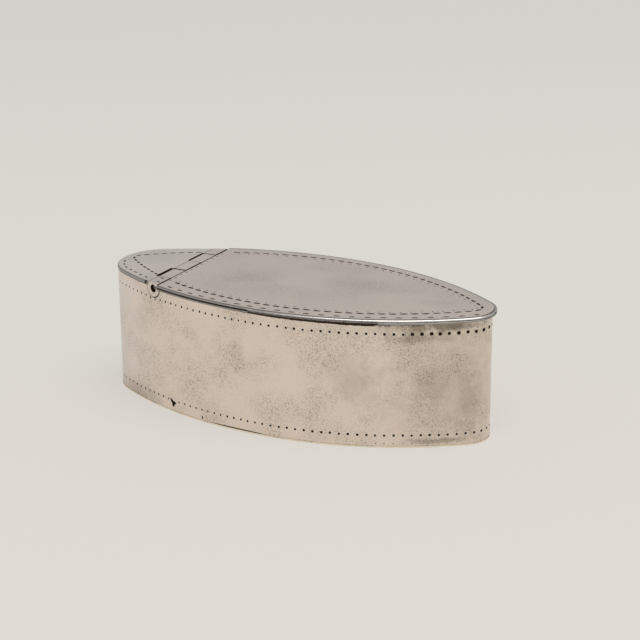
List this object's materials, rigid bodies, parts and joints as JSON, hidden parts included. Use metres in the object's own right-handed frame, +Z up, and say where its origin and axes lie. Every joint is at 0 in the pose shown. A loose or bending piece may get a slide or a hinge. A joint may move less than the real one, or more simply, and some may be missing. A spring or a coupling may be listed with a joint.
{
  "type": "snuff box",
  "caption": "Boat-shaped sheet-silver snuff box with a flat base, a short fixed top at one end and a lid that lifts on a flush knuckle hinge.",
  "frame": {"origin": "middle of the base's underside", "axes": "+X along the box from the hinge end to the lid's free tip, +Y across it, +Z up"},
  "size_m": [0.081, 0.0372, 0.0254],
  "materials": {
    "wall_silver": "worn satin silver with light tarnish",
    "top_silver": "flat rubbed silver with fine scratches",
    "rim_silver": "bright rubbed silver",
    "pin_steel": "dull iron wire"
  },
  "bodies": {
    "box": {"side_wall": "wall_silver", "base_plate": "wall_silver", "fixed_top_plate": "top_silver", "fixed_bearer": "wall_silver", "fixed_knuckle_near": "top_silver", "fixed_knuckle_middle": "top_silver", "fixed_knuckle_far": "top_silver", "hinge_pin": "pin_steel"},
    "lid": {"lid_plate": "top_silver", "lid_rim": "rim_silver", "lid_bezel": "wall_silver", "lid_bearer": "wall_silver", "lid_knuckle_near": "top_silver", "lid_knuckle_far": "top_silver"}
  },
  "joints": [
    {"name": "lid_hinge", "type": "hinge", "parent": "box", "child": "lid", "pos_m": [-0.0252, 0, 0.0243], "axis": [0, -1, 0], "range_deg": [0, 98]}
  ]
}
